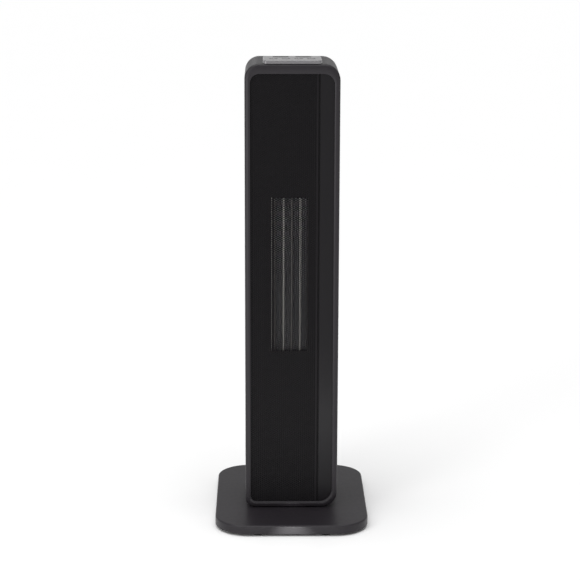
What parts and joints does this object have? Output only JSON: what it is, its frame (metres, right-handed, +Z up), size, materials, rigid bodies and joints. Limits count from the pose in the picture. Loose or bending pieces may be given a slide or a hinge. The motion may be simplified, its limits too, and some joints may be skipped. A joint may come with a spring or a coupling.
{
  "type": "tower space heater",
  "caption": "Slim oscillating ceramic tower heater: perforated front grille in a rounded frame, top control panel, rear intake filter, wide weighted base.",
  "frame": {"origin": "on the floor under the middle of the base, on the oscillation axis", "axes": "+Z up, -Y towards the front grille, +X to the right of someone facing the grille"},
  "size_m": [0.193, 0.238, 0.5857],
  "materials": {
    "shell_plastic": "fine satin texture",
    "inner_plastic": "plain moulded",
    "grille_metal": "fine perforated sheet, satin black",
    "strip_plastic": "smooth satin gloss",
    "panel_gloss": "pearl grey gloss",
    "lens_gloss": "dark polished lens",
    "rubber": "soft matt",
    "steel": "zinc plated",
    "ceramic": "pressed ceramic heating stones in a metal tube",
    "aluminium": "rolled",
    "nylon": "natural",
    "board_laminate": "printed circuit laminate",
    "motor_steel": "plated can",
    "filter_mesh": "woven dust screen"
  },
  "bodies": {
    "base": {"base_shell": "shell_plastic", "base_plate": "inner_plastic", "ballast_plate": "steel", "pivot_post": "inner_plastic", "slide_ring": "nylon", "fixed_gear": "nylon", "foot_1": "rubber", "foot_2": "rubber", "foot_3": "rubber", "foot_4": "rubber", "base_screw_1": "steel", "base_screw_2": "steel", "base_screw_3": "steel", "base_screw_4": "steel"},
    "tower": {"body_shell": "shell_plastic", "front_bezel": "shell_plastic", "front_grille": "grille_metal", "side_strip": "strip_plastic", "air_baffle": "inner_plastic", "rear_cover": "shell_plastic", "control_panel": "panel_gloss", "display_lens": "lens_gloss", "signal_lens": "lens_gloss", "control_board": "board_laminate", "ptc_bar_1": "ceramic", "ptc_bar_2": "ceramic", "ptc_bar_3": "ceramic", "ptc_bar_4": "ceramic", "ptc_bar_5": "ceramic", "fin_pack_1": "aluminium", "fin_pack_2": "aluminium", "fin_pack_3": "aluminium", "fin_pack_4": "aluminium", "heater_end_bottom": "inner_plastic", "heater_end_top": "inner_plastic", "heater_duct": "steel", "thermal_cutout": "steel", "fan_housing": "inner_plastic", "fan_bush": "nylon", "fan_motor": "motor_steel", "osc_motor": "motor_steel", "power_board": "board_laminate", "tilt_bracket": "inner_plastic", "handle_cup": "inner_plastic", "rocker_frame": "inner_plastic", "cord_gland": "rubber", "rear_screw_1": "steel", "rear_screw_2": "steel"},
    "fan": {"fan_wheel": "aluminium", "fan_shaft": "steel"},
    "pinion": {"osc_pinion": "nylon"},
    "tilt_weight": {"tilt_weight": "steel"},
    "filter": {"filter_door": "shell_plastic", "filter_screen": "filter_mesh"},
    "rocker": {"rocker_switch": "lens_gloss"},
    "button_1": {"button_1": "panel_gloss"},
    "button_2": {"button_2": "panel_gloss"},
    "button_3": {"button_3": "panel_gloss"},
    "button_4": {"button_4": "panel_gloss"}
  },
  "joints": [
    {"name": "oscillation", "type": "hinge", "parent": "base", "child": "tower", "pos_m": [0, 0, 0.014], "axis": [0, 0, 1], "range_deg": [-35, 35]},
    {"name": "pinion_spin", "type": "hinge", "parent": "tower", "child": "pinion", "pos_m": [-0.03325, 0, 0.0206], "axis": [0, 0, 1], "range_deg": [-95, 95]},
    {"name": "fan_spin", "type": "hinge", "parent": "tower", "child": "fan", "pos_m": [0, 0.01205, 0.31], "axis": [0, 0, 1], "continuous": true},
    {"name": "tilt_swing", "type": "hinge", "parent": "tower", "child": "tilt_weight", "pos_m": [0.0305, -0.0337, 0.0426], "axis": [1, 0, 0], "range_deg": [-20, 20]},
    {"name": "filter_pull", "type": "slide", "parent": "tower", "child": "filter", "axis": [0, 1, 0], "range_m": [0, 0.06]},
    {"name": "rocker_tip", "type": "hinge", "parent": "tower", "child": "rocker", "pos_m": [0.0305, 0.049, 0.0588], "axis": [-1, 0, 0], "range_deg": [0, 14]},
    {"name": "button_1_press", "type": "slide", "parent": "tower", "child": "button_1", "axis": [0, 0, -1], "range_m": [0, 0.001], "stiffness_N_per_m": 400},
    {"name": "button_2_press", "type": "slide", "parent": "tower", "child": "button_2", "axis": [0, 0, -1], "range_m": [0, 0.001], "stiffness_N_per_m": 400},
    {"name": "button_3_press", "type": "slide", "parent": "tower", "child": "button_3", "axis": [0, 0, -1], "range_m": [0, 0.001], "stiffness_N_per_m": 400},
    {"name": "button_4_press", "type": "slide", "parent": "tower", "child": "button_4", "axis": [0, 0, -1], "range_m": [0, 0.001], "stiffness_N_per_m": 400}
  ],
  "couplings": [
    {"joint": "pinion_spin", "follows": "oscillation", "ratio": 2.6667}
  ]
}
